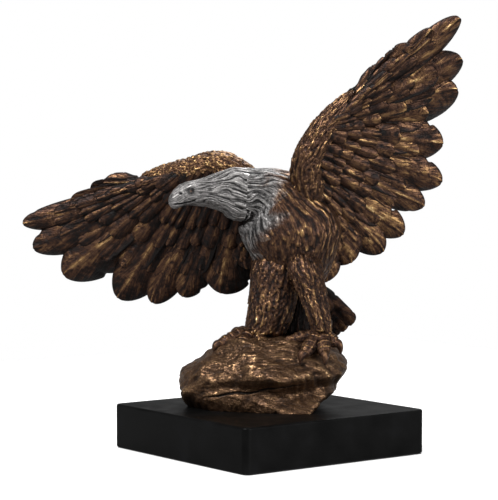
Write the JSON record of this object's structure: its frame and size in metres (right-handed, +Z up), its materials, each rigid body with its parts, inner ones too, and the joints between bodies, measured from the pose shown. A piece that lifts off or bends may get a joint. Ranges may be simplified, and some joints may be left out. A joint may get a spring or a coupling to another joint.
{
  "type": "bronze eagle statuette",
  "caption": "Bronze statuette of an eagle with a silver head and spread wings, standing on a rock on a square black plinth.",
  "frame": {"origin": "centre of the underside of the plinth's felt, the face that it rests on", "axes": "+Z up; X and Y parallel to the plinth's sides. The wings spread along a line about 53 degrees from +X towards +Y, and the head turns towards -Y"},
  "size_m": [0.2494, 0.2148, 0.2969],
  "materials": {
    "bronze": "cast bronze, dark brown patina in the hollows, rubbed to gold on the ridges",
    "bronze_rock": "cast bronze rock, warm brown patina rubbed to gold on the edges",
    "silver": "silvered casting, dark in the grooves",
    "black_plinth": "satin black, lightly worn at the edges",
    "felt": "black felt",
    "steel": "plain steel"
  },
  "bodies": {
    "root": {"plinth": "black_plinth", "felt_pad": "felt", "rock": "bronze_rock", "body": "bronze", "head": "silver", "left_wing": "bronze", "right_wing": "bronze", "tail": "bronze", "left_foot": "bronze", "right_foot": "bronze", "left_leg_rod": "steel", "right_leg_rod": "steel", "neck_pin": "steel", "left_wing_front_pin": "steel", "left_wing_rear_pin": "steel", "right_wing_front_pin": "steel", "right_wing_rear_pin": "steel", "tail_pin": "steel", "base_screw_front": "steel", "base_screw_rear": "steel", "base_washer_front": "steel", "base_washer_rear": "steel"}
  },
  "joints": []
}
